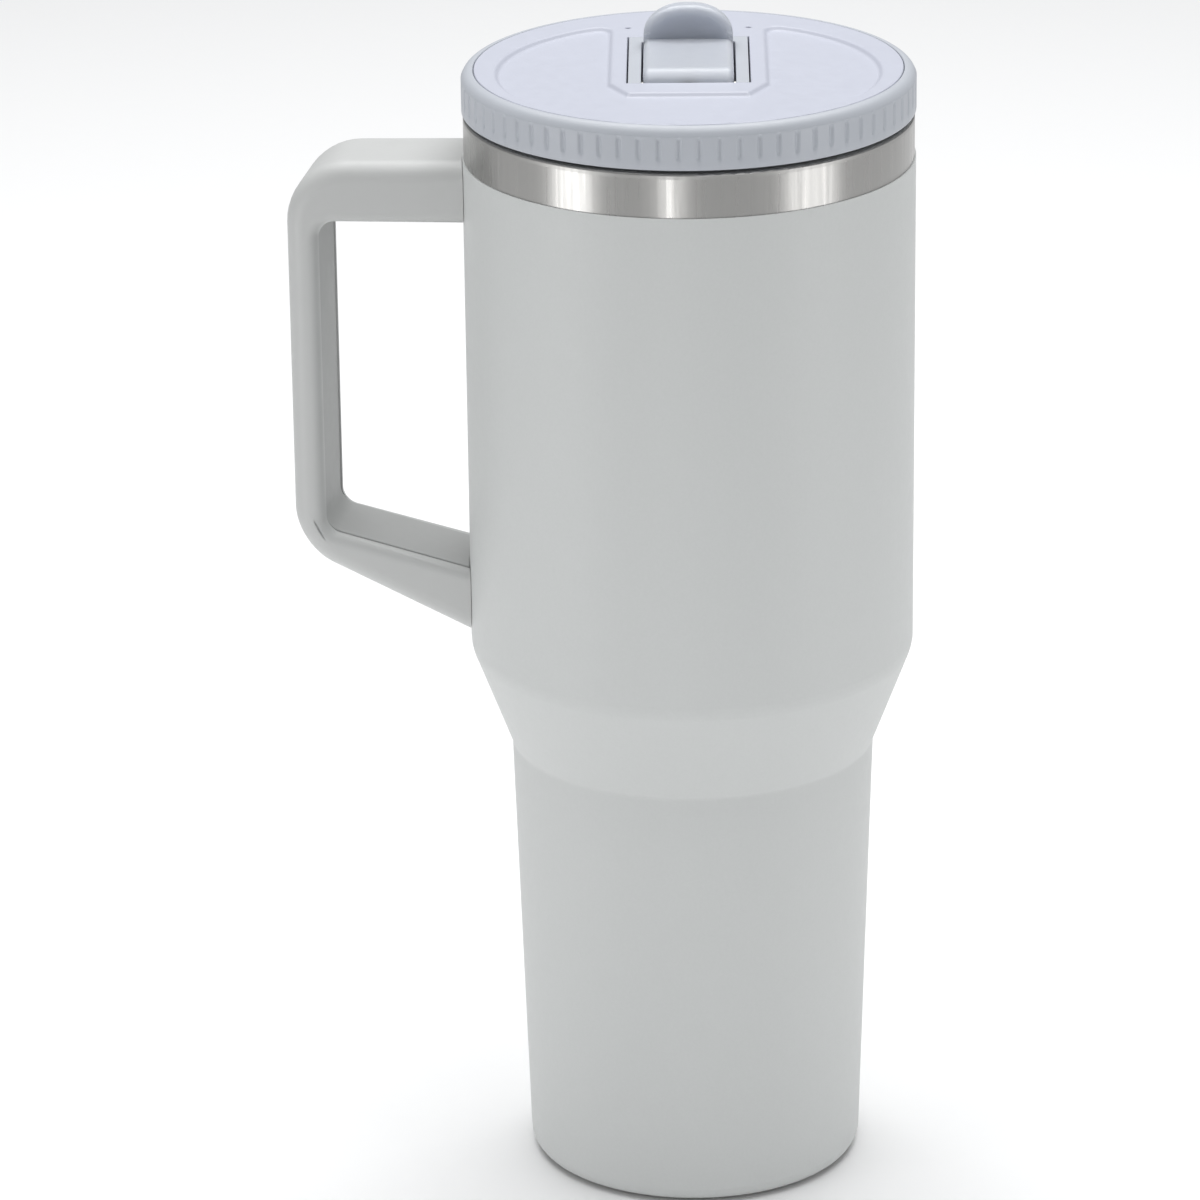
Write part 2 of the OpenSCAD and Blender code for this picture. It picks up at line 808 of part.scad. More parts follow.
// Side view of the spout: barrel, block and tab
module spout_side() {
    front = [hinge_y, spout_top];
    inner = [tab_y - tab_t, spout_top];
    translate([hinge_y, hinge_z]) circle(barrel_r);
    translate([hinge_y, spout_low]) square([spout_l, spout_top - spout_low]);
    translate([tab_y - tab_t, spout_low]) square([tab_t, tab_z - spout_low]);
    corner_piece(front, inner, [inner[0], tab_z], tab_hollow);
}

// Front view of the spout, with the tab's round corners
module spout_front() {
    low = hinge_z - barrel_r - over;
    difference() {
        translate([-spout_w, low]) square([2 * spout_w, tab_z - low]);
        for (side = [-1, 1])
            corner_piece([0, tab_z], [side * spout_w, tab_z], [side * spout_w, low], tab_corner);
    }
}

module spout() {
    color(frame_color) difference() {
        intersection() {
            rotate([90, 0, 90]) linear_extrude(4 * spout_w, center = true) spout_side();
            rotate([90, 0, 0]) linear_extrude(4 * spout_l, center = true) spout_front();
        }
        translate([0, tab_y + over, hinge_z]) rotate([90, 0, 0]) {
            cylinder(h = spout_l + 2 * barrel_r, r = channel_r, $fn = small_fn);
            linear_extrude(mouth_depth + over) {
                square([2 * mouth_half, 2 * channel_r], center = true);
                for (side = [-1, 1]) translate([side * mouth_half, 0]) circle(channel_r);
            }
        }
        for (side = [-1, 1]) on_hinge() translate([0, 0, side * spout_w])
            cylinder(h = 2 * pin_reach + 2 * pin_fit, r = pin_r + pin_fit, center = true,
                     $fn = small_fn);
    }
}

outer_shell();
powder_coat();
inner_liner();
base_cap();
base_disc();
vacuum_seal();
getter();
handle_frame();
handle_strip();
upper_bracket();
lower_bracket();
handle_screws();
screw_caps();
lid_gasket();
lid_plug();
grip_ring();
top_plate();
hinge_frame();
hinge_pins();
spout_seal();
vent_valves();
straw();
spout();
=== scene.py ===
import json
import math

import bmesh
import bpy
from mathutils import Matrix, Vector


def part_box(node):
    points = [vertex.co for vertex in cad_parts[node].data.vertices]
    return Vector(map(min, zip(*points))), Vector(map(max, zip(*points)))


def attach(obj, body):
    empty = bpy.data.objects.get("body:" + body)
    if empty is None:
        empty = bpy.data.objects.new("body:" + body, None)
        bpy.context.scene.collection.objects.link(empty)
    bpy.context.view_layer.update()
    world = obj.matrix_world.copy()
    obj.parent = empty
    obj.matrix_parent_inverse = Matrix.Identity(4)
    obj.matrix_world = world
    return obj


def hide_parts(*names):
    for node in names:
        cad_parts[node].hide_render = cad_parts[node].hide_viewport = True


bl_info = {
    "name": "Insulated tumbler",
    "version": (1, 0, 0),
    "blender": (4, 5, 0),
    "location": "3D View > Sidebar > Tumbler",
    "description": "Builds the looks of an insulated tumbler with a handle and a flip-spout lid",
    "category": "Object",
}

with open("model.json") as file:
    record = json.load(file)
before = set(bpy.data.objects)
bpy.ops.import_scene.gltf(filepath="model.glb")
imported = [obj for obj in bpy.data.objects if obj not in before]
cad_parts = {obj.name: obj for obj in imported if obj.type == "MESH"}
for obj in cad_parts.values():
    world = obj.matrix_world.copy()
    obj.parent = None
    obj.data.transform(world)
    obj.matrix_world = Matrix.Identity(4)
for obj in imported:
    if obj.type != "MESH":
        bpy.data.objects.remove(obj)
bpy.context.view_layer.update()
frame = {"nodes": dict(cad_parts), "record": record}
NODES = frame["nodes"]
TURN = 2 * math.pi
QUARTER = math.pi / 2


def mm(value):
    """Millimetres in metres."""
    return value / 1000


def top_of(node):
    """Height of a CAD node's highest point."""
    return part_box(node)[1].z


def bottom_of(node):
    """Height of a CAD node's lowest point."""
    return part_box(node)[0].z


def length(name, text, value):
    """A length property; its default is in millimetres."""
    return bpy.props.FloatProperty(name=name, description=text, default=mm(value), unit="LENGTH",
                                   precision=5)


def angle(name, text, degrees):
    """An angle property; its default is in degrees."""
    return bpy.props.FloatProperty(name=name, description=text, default=math.radians(degrees),
                                   unit="ROTATION")


def number(name, text, value):
    """A plain number property."""
    return bpy.props.FloatProperty(name=name, description=text, default=value, precision=4)


def colour(name, text, default):
    """A colour property, as an sRGB hex value."""
    return bpy.props.StringProperty(name=name, description=text + ", sRGB hex", default=default)


# Settings


class TumblerStage(bpy.types.PropertyGroup):
    """The floor, the light from all around and the camera."""

    floor: colour("Floor", "Seamless paper under the tumbler", "#F7F7F7")
    floor_radius: length("Floor radius", "Radius of the floor", 8000)
    floor_inner: length("Floor ring", "Width of the floor's outer ring of faces", 4000)
    glow: colour("Surroundings", "Light from all around", "#F2F4F6")
    glow_strength: number("Surrounding light", "Strength of the light from all around", 0.36)
    sensor: number("Sensor", "Width of the camera's sensor in millimetres", 36)
    lens: number("Lens", "Focal length of the camera in millimetres", 182.22)
    back: length("Camera distance", "Distance of the camera in front of the axis", 1288.86)
    up: length("Camera height", "Height of the camera above the floor", 612.35)
    pitch: angle("Pitch", "Angle by which the camera looks down", 20.392)
    yaw: angle("Yaw", "Angle by which the camera turns to the right", -0.925)
    roll: angle("Roll", "Angle by which the camera leans", 0.695)


class TumblerHandle(bpy.types.PropertyGroup):
    """Sizes of the handle."""

    turn: angle("Turn", "Angle by which the handle is turned back from the -X axis", 8)
    reach: length("Reach", "Distance from the tumbler's axis to the grip's outer face", 89)
    grip: length("Grip", "Thickness of the grip", 7.2)
    width: length("Width", "Width of the handle", 25)
    upper_height: length("Upper arm", "Height of the upper arm", 13.6)
    upper_fall: angle("Upper fall", "Fall of the upper arm towards the grip", 2)
    lower_height: length("Lower arm", "Height of the lower arm at its root", 14.5)
    under_rise: angle("Under rise", "Rise of the lower arm's underside", 25)
    ledge_rise: angle("Ledge rise", "Rise of the lower arm's upper face", 14)
    outer_round: length("Outer corners", "Radius of the two outer corners in side view", 14.5)
    inner_round: length("Inner corners", "Radius of the opening's corners in side view", 4)
    edge_round: length("Edge", "Radius of the long outer edges", 4.4)
    rim_round: length("Rim", "Radius of the opening's edges", 2.4)
    wall: length("Wall", "Wall beside the inlaid strip", 3)
    strip: length("Strip depth", "Depth of the groove that holds the strip", 2.3)
    screw_at: length("Screw", "Distance of the lower screw from the handle's root", 9.5)
    screw_hole: length("Screw hole", "Radius of the hole over the screw", 3.15)
    screw_deep: length("Screw hole depth", "Depth of the hole over the screw", 2.6)
    gap: length("Gap", "Gap between the handle's ends and the body", 0.1)


class TumblerLid(bpy.types.PropertyGroup):
    """Sizes of the lid's shown pieces."""

    shoulder: length("Shoulder", "Radius of the grip ring's shoulder", 2.6)
    lip: length("Lip", "Radius of the grip ring's inner and lower edges", 0.35)
    ring_width: length("Ring", "Width of the grip ring", 2.7)
    ledge_width: length("Ledge", "Width of the ledge inside the ring", 1.3)
    ledge_height: length("Ledge height", "Height of the ledge inside the ring", 1.2)
    flutes: bpy.props.IntProperty(name="Flutes", description="Number of flutes around the ring", default=72)
    flute_depth: length("Flute depth", "Depth of a flute", 0.45)
    flute_half: length("Flute half width", "Half the width of a flute", 0.45)
    flute_low: length("Below flutes", "Plain margin below the flutes", 2)
    flute_high: length("Above flutes", "Plain margin above the flutes", 2)
    recess_radius: length("Recess", "Radius of the recess", 42.48)
    recess_shift: length("Recess shift", "Shift of the recess towards the front", 3.8)
    recess_depth: length("Recess depth", "Depth of the recess", 0.9)
    recess_slope: length("Recess slope", "Width of the recess's sloping wall", 0.9)
    recess_soft: length("Recess softness", "Width of the rounding along both edges of the sloping wall", 0.4)
    recess_corner: length("Recess corner", "Radius of the recess's rear corners", 4)
    island_half: length("Island", "Half width of the island between the recesses", 16.8)
    island_front: length("Island front", "Distance from the axis to the island's front edge", 21.5)
    island_across: length("Slant across", "Slant of the island's front corners, across", 4)
    island_along: length("Slant along", "Slant of the island's front corners, along", 8)
    vent: length("Vent", "Radius of the opening over a vent", 0.6)
    seam: length("Seam", "Seam between the hinge frame and the top plate", 0.3)
    edge: length("Edge", "Radius of the top plate's edges", 0.35)


class TumblerSpout(bpy.types.PropertyGroup):
    """Sizes of the flip spout."""

    block_top: length("Block", "Height of the spout's block above the lid", 2.2)
    under: length("Under", "Depth of the spout's underside below the hinge axis", 3.4)
    barrel: length("Barrel", "Radius of the hinge barrel", 4.6)
    tab: length("Tab", "Thickness of the tab at the back", 5.4)
    tab_round: length("Tab corners", "Radius of the tab's two upper corners", 9)
    hollow: length("Hollow", "Radius of the hollow between tab and block", 1)
    edge: length("Edge", "Radius of the spout's long edges", 1.5)
    dish: length("Dish", "Depth of the dish in the tab's front", 0.5)
    dish_rim: length("Dish rim", "Width of the rim around the dish", 1.5)
    channel: length("Channel", "Radius of the drinking channel", 2.05)
    mouth_half: length("Mouth", "Half length of the mouth, between its round ends", 2.6)
    mouth_high: number("Mouth height", "Height of the mouth as a share of the channel's", 0.97)
    mouth_round: number("Mouth roundness", "Radius of the mouth's ends as a share of half its height", 0.98)
    mouth_depth: length("Mouth depth", "Depth of the mouth in the rear end", 6)


class TumblerFinish(bpy.types.PropertyGroup):
    """Colours of the finishes."""

    coat: colour("Coating", "Powder coating of the body", "#CACCCB")
    handle: colour("Handle", "Moulded handle", "#BFC0BF")
    # The strip's colour is darker than the handle's as painted shade: it stands for the shade that falls on
    # the strip inside the handle's opening, under the upper arm.
    inlay: colour("Inlay", "Moulded strip on the finger side of the handle", "#ACADAC")
    lid: colour("Lid", "Moulded lid", "#BDC0CC")
    ring: colour("Ring", "Moulded grip ring and hinge frame", "#B6BAC1")
    spout: colour("Spout", "Moulded spout", "#B6BAC2")
    straw: colour("Straw", "Straw", "#E8EAEC")
    silicone: colour("Silicone", "Gasket, seal and vents", "#9DA0A3")
    steel: colour("Steel", "Stainless steel", "#A9A8A6")
    solder: colour("Solder", "Tin solder of the vacuum seal", "#A9AAAC")
    getter: colour("Getter", "Pressed alloy of the getter", "#4A4A4C")


# Modelling

# Cosines for along and across, and how far a cutter reaches past what it cuts
PARALLEL = 0.999
UPRIGHT_FACE = 0.05
OVER = mm(3)


def activate(obj):
    """Makes a piece the only selected object and the active one."""
    bpy.ops.object.select_all(action="DESELECT")
    bpy.context.view_layer.objects.active = obj
    obj.select_set(True)


def leave():
    """Closes edit mode."""
    if bpy.context.mode != "OBJECT":
        bpy.ops.object.mode_set(mode="OBJECT")


def start(name):
    """Names the primitive that was just added, fixes its place in its mesh and opens it in edit mode."""
    obj = bpy.context.object
    obj.name = name
    obj.data.name = name
    bpy.ops.object.transform_apply(location=True, rotation=True, scale=True)
    bpy.ops.object.mode_set(mode="EDIT")
    return obj


def new_cube(name, low, high):
    """A box between two corners, in edit mode."""
    leave()
    bpy.ops.object.select_all(action="DESELECT")
    middle = [(a + b) / 2 for a, b in zip(low, high)]
    bpy.ops.mesh.primitive_cube_add(size=1, location=middle, scale=[b - a for a, b in zip(low, high)])
    return start(name)


def new_cylinder(name, radius, low, high, place=(0, 0), sides=192):
    """An upright cylinder between two heights, in edit mode."""
    leave()
    bpy.ops.object.select_all(action="DESELECT")
    bpy.ops.mesh.primitive_cylinder_add(vertices=sides, radius=radius, depth=high - low,
                                        location=(*place, (low + high) / 2))
    return start(name)


def pick(obj, kind, test):
    """Selects the vertices, edges or faces of the mesh in edit mode that pass a test."""
    bpy.ops.mesh.select_mode(type={"verts": "VERT", "edges": "EDGE", "faces": "FACE"}[kind])
    bpy.ops.mesh.select_all(action="DESELECT")
    mesh = bmesh.from_edit_mesh(obj.data)
    mesh.normal_update()
    found = [part for part in getattr(mesh, kind) if test(part)]
    for part in found:
        part.select_set(True)
    mesh.select_flush_mode()
    bmesh.update_edit_mesh(obj.data)
    if not found:
        raise RuntimeError(f"{obj.name}: no {kind} to select")


def near(a, b, limit=mm(0.02)):
    """Whether two lengths are the same."""
    return abs(a - b) < limit


def middle(edge):
    """The middle point of an edge."""
    return (edge.verts[0].co + edge.verts[1].co) / 2


def along(edge, axis):
    """Whether an edge runs along an axis, 0 to 2."""
    run = (edge.verts[1].co - edge.verts[0].co).normalized()
    return abs(run[axis]) > PARALLEL


def merge(limit):
    """Merges all points of the mesh in edit mode that lie closer together than a limit."""
    bpy.ops.mesh.select_all(action="SELECT")
    bpy.ops.mesh.remove_doubles(threshold=limit)


def round_picked(radius, segments, corner=QUARTER):
    """Rounds the selected edges, where two faces meet at the corner angle."""
    bpy.ops.mesh.bevel(offset_type="OFFSET", offset=radius / math.tan(corner / 2), segments=segments,
                       profile=0.5, affect="EDGES", clamp_overlap=False)


def apply_modifier(obj, kind, **settings):
    """Adds a modifier with its settings and applies it."""
    activate(obj)
    modifier = obj.modifiers.new(kind.title(), kind)
    for name, value in settings.items():
        setattr(modifier, name, value)
    bpy.ops.object.modifier_apply(modifier=modifier.name)


def cut(obj, cutter):
    """Takes the cutter's volume out of a piece and removes the cutter."""
    leave()
    apply_modifier(obj, "BOOLEAN", operation="DIFFERENCE", solver="EXACT", object=cutter)
    mesh = cutter.data
    bpy.data.objects.remove(cutter)
    bpy.data.meshes.remove(mesh)
    activate(obj)
    bpy.ops.object.mode_set(mode="EDIT")
    merge(mm(0.003))
    bpy.ops.mesh.dissolve_limited(angle_limit=math.radians(0.2))
    return obj


def shade(obj, degrees=30):
    """Smooth shading that keeps flat faces flat."""
    leave()
    activate(obj)
    bpy.ops.object.shade_smooth_by_angle(angle=math.radians(degrees))
    apply_modifier(obj, "WEIGHTED_NORMAL", mode="FACE_AREA", keep_sharp=True)


def lathe(name, profile, steps):
    """Spins a closed outline, points of radius and height, around the tumbler's axis; in edit mode."""
    leave()
    bpy.ops.object.select_all(action="DESELECT")
    bpy.ops.mesh.primitive_plane_add(size=mm(1), location=(profile[0][0], 0, profile[0][1]))
    obj = start(name)
    bpy.ops.mesh.select_mode(type="VERT")
    bpy.ops.mesh.select_all(action="SELECT")
    bpy.ops.mesh.merge(type="CENTER")
    outline = profile[1:] + profile[:1]
    for (r0, z0), (r1, z1) in zip(profile, outline):
        bpy.ops.mesh.extrude_vertices_move(TRANSFORM_OT_translate={"value": (r1 - r0, 0, z1 - z0)})
    bpy.ops.mesh.select_all(action="SELECT")
    bpy.ops.mesh.spin(steps=steps, angle=TURN, center=(0, 0, 0), axis=(0, 0, 1))
    merge(mm(0.005))
    bpy.ops.mesh.normals_make_consistent(inside=False)
    return obj


def arc(centre, radius, first, last, parts):
    """Points of an arc in a plane, from one angle to another, in degrees."""
    angles = [math.radians(first + (last - first) * i / parts) for i in range(parts + 1)]
    return [(centre[0] + radius * math.cos(a), centre[1] + radius * math.sin(a)) for a in angles]


def softened(node, name, width, segments=3):
    """A copy of a CAD node with its doubles merged and its edges rounded."""
    obj = bpy.data.objects.new(name, NODES[node].data.copy())
    bpy.context.scene.collection.objects.link(obj)
    activate(obj)
    bpy.ops.object.mode_set(mode="EDIT")
    merge(mm(0.002))
    bpy.ops.mesh.dissolve_limited(angle_limit=math.radians(0.5))
    leave()
    apply_modifier(obj, "BEVEL", width=width, segments=segments, limit_method="ANGLE",
                   angle_limit=math.radians(40), use_clamp_overlap=False, loop_slide=True)
    shade(obj)
    return obj


def place(obj, body, slot, material, *nodes):
    """Sets a finished piece's material and says where it belongs."""
    obj.data.materials.clear()
    obj.data.materials.append(material)
    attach(obj, body)
    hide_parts(*nodes)


# Materials

EVEN = (1, 1, 1)
RINGS = (0.01, 0.01, 1)
UPRIGHT = (1, 1, 0.02)
NOISE_LOW, NOISE_HIGH = 0.3, 0.7
MIX_FACTOR, MIX_DARK, MIX_LIGHT, MIX_RESULT = 0, 6, 7, 2


def linear(hex_colour):
    """An sRGB hex colour as linear red, green, blue and alpha."""
    parts = [int(hex_colour[i:i + 2], 16) / 255 for i in (1, 3, 5)]
    return [p / 12.92 if p <= 0.04045 else ((p + 0.055) / 1.055) ** 2.4 for p in parts] + [1]


def add(tree, kind, sockets=None, **settings):
    """Adds a node, sets its properties, and sets or links its input sockets."""
    made = tree.nodes.new(kind)
    for name, value in settings.items():
        setattr(made, name, value)
    for name, value in (sockets or {}).items():
        if isinstance(value, bpy.types.NodeSocket):
            tree.links.new(value, made.inputs[name])
        else:
            made.inputs[name].default_value = value
    return made


def surface(name, tint, grains, tone, rough, relief, **sockets):
    """A material whose colour, gloss and relief follow noise on Object coordinates.

    grains names each noise and gives its grain's size, its detail and how it is stretched. tone is the
    noise that makes the colour lighter and darker, and the share by which it does. rough is the noise
    that varies the roughness, and the two ends. relief is each noise that raises the surface, and its
    height. The other values are set on the shader.
    """
    material = bpy.data.materials.new(name)
    material.use_nodes = True
    material.diffuse_color = linear(tint)
    tree = material.node_tree
    shader = tree.nodes["Principled BSDF"]
    shader.inputs["Base Color"].default_value = linear(tint)
    for socket, value in sockets.items():
        shader.inputs[socket.replace("_", " ")].default_value = value
    place_of = add(tree, "ShaderNodeTexCoord").outputs["Object"]
    noise = {}
    for label, (size, detail, stretch) in grains.items():
        mapped = add(tree, "ShaderNodeMapping", {"Vector": place_of, "Scale": stretch})
        noise[label] = add(tree, "ShaderNodeTexNoise", {"Vector": mapped.outputs["Vector"],
                                                        "Scale": 1 / size, "Detail": detail}).outputs["Fac"]
    if tone:
        label, share = tone
        mixed = add(tree, "ShaderNodeMix", {MIX_FACTOR: noise[label]}, data_type="RGBA")
        for socket, part in ((MIX_DARK, 1 - share), (MIX_LIGHT, 1 + share)):
            mixed.inputs[socket].default_value = [min(c * part, 1) for c in linear(tint)[:3]] + [1]
        tree.links.new(mixed.outputs[MIX_RESULT], shader.inputs["Base Color"])
    label, low, high = rough
    ranged = add(tree, "ShaderNodeMapRange", {"Value": noise[label], "From Min": NOISE_LOW,
                                              "From Max": NOISE_HIGH, "To Min": low, "To Max": high})
    tree.links.new(ranged.outputs["Result"], shader.inputs["Roughness"])
    normal = {}
    for label, height in relief:
        raised = add(tree, "ShaderNodeBump", {"Height": noise[label], "Distance": height,
                                              "Strength": 1.0, **normal})
        normal = {"Normal": raised.outputs["Normal"]}
    if normal:
        tree.links.new(normal["Normal"], shader.inputs["Normal"])
    return material


def powder_coat(tint):
    """Polyester powder coating, baked on steel."""
    # The powder melts into a satin skin with a soft orange peel, 1 to 3 mm from crest to crest, that
    # breaks up highlights. Its grains are about 0.05 mm, and are drawn at 0.5 mm so that they show.
    grains = {
        "peel": (mm(1.6), 3, EVEN),
        "grit": (mm(0.45), 1, EVEN),
        "speckle": (mm(0.6), 2, EVEN),
        "patch": (mm(2.5), 2, EVEN),
    }
    return surface("powder_coat_satin", tint, grains, ("speckle", 0.025), ("patch", 0.44, 0.52),
                   (("peel", mm(0.03)), ("grit", mm(0.012))), IOR=1.5)


def moulded(name, tint, rough, texture, height, **sockets):
    """Injection-moulded plastic from a spark-eroded tool."""
    # The tool leaves an even fine texture, about 0.1 mm, drawn coarser so that it shows. The melt's
    # flow leaves faint clouds in the colour and, every few millimetres, in the gloss.
    grains = {
        "flow": (mm(18), 2, EVEN),
        "cloud": (mm(3), 2, EVEN),
        "texture": (texture, 2, EVEN),
    }
    return surface(name, tint, grains, ("flow", 0.012), ("cloud", rough - 0.04, rough + 0.04),
                   (("texture", height),), IOR=1.49, **sockets)


def milky_plastic(tint):
    """The spout's moulded copolyester."""
    # It is glossier than the lid and lets light some 8 mm in, so that the thin tab looks milky.
    return moulded("copolyester_moulded_spout", tint, 0.36, mm(0.5), mm(0.006), Coat_Weight=0.15,
                   Coat_Roughness=0.25, Subsurface_Weight=0.9, Subsurface_Scale=mm(8),
                   Subsurface_Radius=(1, 1, 1))


def brushed_steel(name, tint, rough, line, anisotropic):
    """Stainless steel brushed around the body."""
    # The brush leaves rings about 0.05 mm apart, drawn coarser so that they show. They draw highlights
    # out upright, and faint upright streaks cross them.
    grains = {
        "rings": (line, 3, RINGS),
        "streaks": (mm(0.9), 2, UPRIGHT),
    }
    return surface(name, tint, grains, ("streaks", 0.06), ("streaks", rough - 0.05, rough + 0.07),
                   (("rings", mm(0.006)), ("streaks", mm(0.008))), Metallic=1.0,
                   Anisotropic=anisotropic, Anisotropic_Rotation=0.25)


def plain_metal(name, tint, rough):
    """Small metal pieces as they come from the tool."""
    # They have a dull grain of a few tenths of a millimetre and a few stains.
    grains = {
        "stains": (mm(1.5), 2, EVEN),
        "dull": (mm(0.7), 2, EVEN),
        "grain": (mm(0.4), 2, EVEN),
    }
    return surface(name, tint, grains, ("stains", 0.1), ("dull", rough - 0.08, rough + 0.08),
                   (("grain", mm(0.01)),), Metallic=1.0)


def silicone(tint):
    """Moulded silicone rubber."""
    # It is soft and matt, with a dusty bloom that lightens it towards its edges.
    grains = {
        "bloom": (mm(4), 2, EVEN),
        "dust": (mm(1), 2, EVEN),
        "texture": (mm(0.3), 2, EVEN),
    }
    return surface("silicone_matt", tint, grains, ("bloom", 0.04), ("dust", 0.55, 0.68),
                   (("texture", mm(0.008)),), IOR=1.41, Sheen_Weight=0.15)


def straw_plastic(tint):
    """Extruded polypropylene tube."""
    # It is milky and lets light through, with faint draw lines about 0.5 mm apart along it.
    grains = {"lines": (mm(0.5), 2, UPRIGHT)}
    return surface("polypropylene_extruded", tint, grains, None, ("lines", 0.28, 0.4),
                   (("lines", mm(0.01)),), IOR=1.49, Transmission_Weight=0.35, Subsurface_Weight=0.2,
                   Subsurface_Radius=(mm(2), mm(2), mm(2)), Subsurface_Scale=1.0)


def studio_paper(tint):
    """A seamless paper roll."""
    # It is matt, with a faint cloudiness from its fibres.
    grains = {
        "fibre": (mm(5), 2, EVEN),
        "cloud": (mm(8), 2, EVEN),
    }
    return surface("paper_seamless", tint, grains, ("fibre", 0.004), ("cloud", 0.9, 0.95), ())


FINISHES = {
    "powder_coat": lambda tints: powder_coat(tints.coat),
    "handle_plastic": lambda tints: moulded("polypropylene_moulded_handle", tints.handle, 0.44,
                                            mm(0.5), mm(0.012)),
    # The inlay's darker colour is painted shade for the inside of the handle's opening.
    "inlay_plastic_painted_shade": lambda tints: moulded("polypropylene_moulded_inlay", tints.inlay, 0.5,
                                           mm(0.5), mm(0.012)),
    "lid_plastic": lambda tints: moulded("polypropylene_moulded_lid", tints.lid, 0.42,
                                         mm(0.35), mm(0.008)),
    "ring_plastic": lambda tints: moulded("polypropylene_moulded_ring", tints.ring, 0.44,
                                          mm(0.35), mm(0.008)),
    "spout_plastic": lambda tints: milky_plastic(tints.spout),
    "straw_plastic": lambda tints: straw_plastic(tints.straw),
    "silicone": lambda tints: silicone(tints.silicone),
    "brushed_steel": lambda tints: brushed_steel("stainless_steel_brushed", tints.steel, 0.3,
                                                 mm(0.25), 0.7),
    "satin_steel": lambda tints: brushed_steel("stainless_steel_satin", tints.steel, 0.38,
                                               mm(0.5), 0.4),
    "screw_steel": lambda tints: plain_metal("stainless_steel_turned", tints.steel, 0.35),
    "solder": lambda tints: plain_metal("tin_solder", tints.solder, 0.5),
    "getter_alloy": lambda tints: plain_metal("getter_alloy_pressed", tints.getter, 0.7),
}
MADE = {}


def finish(name):
    """The material of that name, made once."""
    if name not in MADE:
        MADE[name] = FINISHES[name](bpy.context.scene.tumbler_finish)
    return MADE[name]


# Operators

# Each lamp's name, azimuth from the front and elevation in degrees, distance and size in metres, and
# power in watts. The three low ones draw the upright highlights on the steel band.
LAMPS = (
    ("strip_left", -59, -12, 0.62, (0.22, 0.22), 0.55),
    ("strip_right", 62, -12, 0.62, (0.3, 0.22), 0.5),
    ("strip_front", -9, -17, 0.62, (0.1, 0.16), 0.2),
    ("softbox_top", 180, 80, 1.4, (1.8, 1.8), 28),
    ("strip_top", 180, 62, 1.0, (0.7, 0.1), 2.0),
)


class TUMBLER_OT_stage(bpy.types.Operator):
    """Adds the floor, the lights and the camera."""

    bl_idname = "tumbler.stage"
    bl_label = "Stage"

    def execute(self, context):
        stage = context.scene.tumbler_stage
        self.floor(stage)
        self.world(context, stage)
        band = Vector((0, 0, top_of("outer_shell")))
        for lamp in LAMPS:
            self.light(*lamp, band)
        self.camera(context, stage)
        return {"FINISHED"}

    def floor(self, stage):
        """A round sheet of paper that reaches past the camera's view."""
        bpy.ops.object.select_all(action="DESELECT")
        bpy.ops.mesh.primitive_circle_add(vertices=128, radius=stage.floor_radius, fill_type="NGON",
                                          location=(0, 0, 0))
        floor = start("floor")
        bpy.ops.mesh.select_all(action="SELECT")
        bpy.ops.mesh.inset(thickness=stage.floor_inner)
        leave()
        floor.data.materials.append(studio_paper(stage.floor))

    def world(self, context, stage):
        """Even light from all around."""
        world = bpy.data.worlds.new("studio")
        world.use_nodes = True
        background = world.node_tree.nodes["Background"]
        background.inputs["Color"].default_value = linear(stage.glow)
        background.inputs["Strength"].default_value = stage.glow_strength
        context.scene.world = world
        context.scene.view_settings.view_transform = "Standard"

    def light(self, name, azimuth, elevation, distance, size, power, target):
        """A soft box that stands at an azimuth from the front, an elevation and a distance."""
        a, e = math.radians(azimuth), math.radians(elevation)
        away = Vector((math.sin(a) * math.cos(e), -math.cos(a) * math.cos(e), math.sin(e)))
        data = bpy.data.lights.new(name, "AREA")
        data.shape = "RECTANGLE"
        data.size, data.size_y = size
        data.energy = power
        lamp = bpy.data.objects.new(name, data)
        bpy.context.scene.collection.objects.link(lamp)
        lamp.location = target + away * distance
        lamp.rotation_euler = (-away).to_track_quat("-Z", "Y").to_euler()
        lamp.visible_camera = False

    def camera(self, context, stage):
        """The camera in front of the tumbler, which looks down on it."""
        data = bpy.data.cameras.new("camera")
        data.sensor_width = stage.sensor
        data.lens = stage.lens
        camera = bpy.data.objects.new("camera", data)
        context.scene.collection.objects.link(camera)
        camera.matrix_world = (Matrix.Translation((0, -stage.back, stage.up))
                               @ Matrix.Rotation(-stage.yaw, 4, "Z")
                               @ Matrix.Rotation(QUARTER - stage.pitch, 4, "X")
                               @ Matrix.Rotation(-stage.roll, 4, "Z"))
        context.scene.camera = camera


